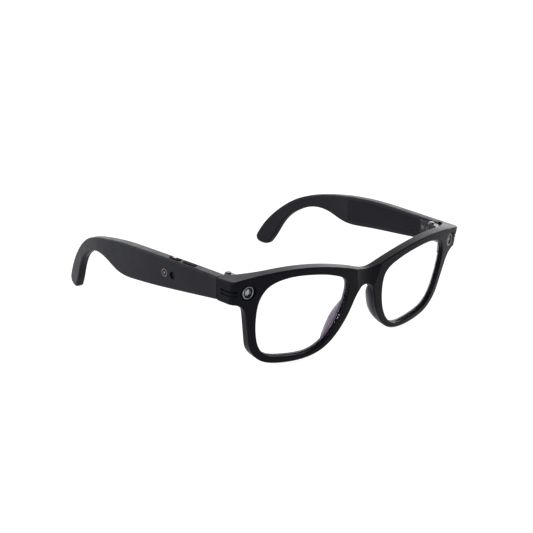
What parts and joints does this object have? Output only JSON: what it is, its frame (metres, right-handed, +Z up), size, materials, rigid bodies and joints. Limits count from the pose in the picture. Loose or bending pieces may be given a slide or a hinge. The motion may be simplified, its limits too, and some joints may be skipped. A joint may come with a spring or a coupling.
{
  "type": "smart glasses",
  "caption": "Full-rim camera glasses: clear lenses, camera and capture light in the endpieces, folding electronics temples with press keys, speaker and charging contacts.",
  "frame": {"origin": "centre of the footprint, on the surface that the rims and temple tips stand on", "axes": "+Z up, -Y the way the wearer looks, -X the wearer's right, temples open along +Y"},
  "size_m": [0.16, 0.1642, 0.0486],
  "materials": {
    "frame_black": "satin moulded nylon",
    "temple_black": "fine matte moulded nylon",
    "cover_black": "fine satin",
    "pad_black": "soft satin",
    "lens_clear": "clear with a violet anti-reflection coat",
    "hinge_metal": "brushed",
    "screw_steel": "turned",
    "bezel_silver": "polished ring",
    "bezel_dark": "dark anodised",
    "camera_glass": "coated cover glass",
    "eye_gloss": "lens stack, coated",
    "inner_black": "matt",
    "guide_grey": "smoked light guide",
    "emitter_white": "clear dome",
    "board_green": "solder mask",
    "flex_amber": "polyimide film",
    "cell_foil": "pouch foil",
    "speaker_black": "moulded",
    "grille_steel": "blackened",
    "key_black": "fine satin",
    "indicator_rose": "tinted light window",
    "window_dark": "smoked window",
    "plate_black": "gloss insert",
    "contact_gold": "gold plated",
    "dome_steel": "pressed dome"
  },
  "bodies": {
    "front": {"front_frame": "frame_black", "brow_cover": "cover_black", "brow_flex_cable": "flex_amber", "lens_left": "lens_clear", "lens_right": "lens_clear", "nose_pad_left": "pad_black", "nose_pad_right": "pad_black", "camera_bezel": "bezel_silver", "camera_window": "camera_glass", "camera_barrel": "inner_black", "camera_eye": "eye_gloss", "camera_sensor_board": "board_green", "light_bezel": "bezel_dark", "light_guide": "guide_grey", "light_emitter": "emitter_white", "light_board": "board_green", "front_hinge_leaf_left": "hinge_metal", "front_hinge_leaf_right": "hinge_metal", "hinge_screws": "screw_steel"},
    "temple_right": {"temple_shell_right": "temple_black", "temple_cover_right": "cover_black", "temple_hinge_leaf_right": "hinge_metal", "temple_leaf_screws_right": "screw_steel", "battery_right": "cell_foil", "main_board": "board_green", "main_processor": "inner_black", "speaker_right": "speaker_black", "speaker_grille_right": "grille_steel", "touch_sensor": "flex_amber", "status_window": "window_dark", "charging_plate": "plate_black", "charging_contacts": "contact_gold", "key_switches": "dome_steel"},
    "temple_left": {"temple_shell_left": "temple_black", "temple_cover_left": "cover_black", "temple_hinge_leaf_left": "hinge_metal", "temple_leaf_screws_left": "screw_steel", "battery_left": "cell_foil", "speaker_left": "speaker_black", "speaker_grille_left": "grille_steel", "microphone": "inner_black", "microphone_board": "board_green"},
    "shutter_button": {"shutter_button": "key_black"},
    "power_button": {"power_button": "key_black", "power_indicator": "indicator_rose"}
  },
  "joints": [
    {"name": "left_temple_fold", "type": "hinge", "parent": "front", "child": "temple_left", "pos_m": [0.0673, -0.0617, 0.0411], "axis": [0, 0, 1], "range_deg": [0, 90]},
    {"name": "right_temple_fold", "type": "hinge", "parent": "front", "child": "temple_right", "pos_m": [-0.0673, -0.0617, 0.0411], "axis": [0, 0, -1], "range_deg": [0, 77]},
    {"name": "shutter_press", "type": "slide", "parent": "temple_right", "child": "shutter_button", "axis": [0, 0, -1], "range_m": [0, 0.0004], "stiffness_N_per_m": 4000},
    {"name": "power_press", "type": "slide", "parent": "temple_right", "child": "power_button", "axis": [0, 0, -1], "range_m": [0, 0.0004], "stiffness_N_per_m": 4000}
  ]
}
